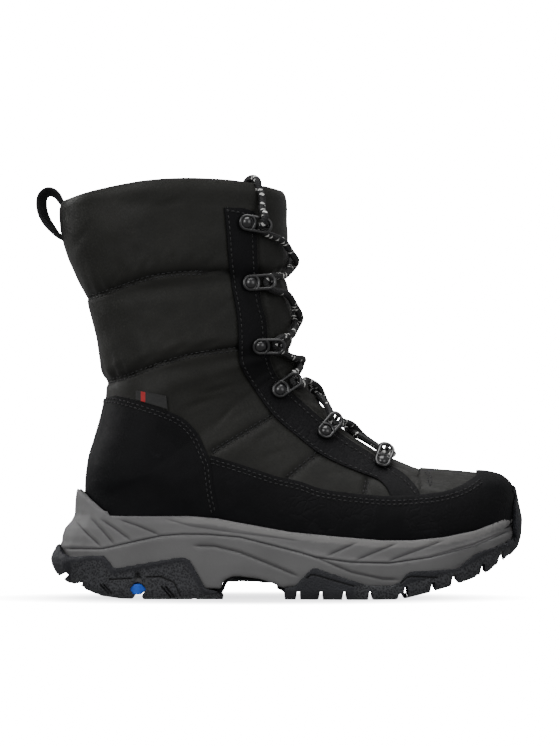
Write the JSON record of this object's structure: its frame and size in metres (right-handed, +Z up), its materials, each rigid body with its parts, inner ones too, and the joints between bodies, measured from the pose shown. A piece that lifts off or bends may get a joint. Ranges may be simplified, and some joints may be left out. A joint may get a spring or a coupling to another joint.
{
  "type": "snow boot",
  "caption": "Laced mid-calf snow boot: padded cloth shaft, leather heel, toe and lace facings, thick grey midsole and dark lugged rubber sole.",
  "frame": {"origin": "on the floor, at the middle of the heel's flat spot", "axes": "+X from heel to toe, +Y to the inner side of the foot, +Z up the shaft"},
  "size_m": [0.2982, 0.1077, 0.2612],
  "materials": {
    "tread_rubber": "matt",
    "grey_foam": "matt",
    "blue_rubber": "satin",
    "lining_fleece": "soft",
    "nylon": "slight sheen",
    "leather": "satin",
    "tag_cloth": "matt",
    "webbing": "matt",
    "dark_metal": "gloss",
    "lace_cord": "woven, flecked"
  },
  "bodies": {
    "root": {"outsole": "tread_rubber", "midsole": "grey_foam", "grip_insert": "blue_rubber", "insole": "lining_fleece", "upper": "nylon", "tongue": "nylon", "heel_counter": "leather", "mudguard": "leather", "eyestay_lateral": "leather", "eyestay_medial": "leather", "side_tag": "tag_cloth", "pull_loop": "webbing", "eyelet_lateral_1": "dark_metal", "eyelet_lateral_2": "dark_metal", "eyelet_lateral_3": "dark_metal", "eyelet_lateral_4": "dark_metal", "eyelet_lateral_5": "dark_metal", "eyelet_lateral_6": "dark_metal", "eyelet_medial_1": "dark_metal", "eyelet_medial_2": "dark_metal", "eyelet_medial_3": "dark_metal", "eyelet_medial_4": "dark_metal", "eyelet_medial_5": "dark_metal", "eyelet_medial_6": "dark_metal", "lace_crossings": "lace_cord", "lace_end_lateral": "lace_cord", "lace_end_medial": "lace_cord"}
  },
  "joints": []
}
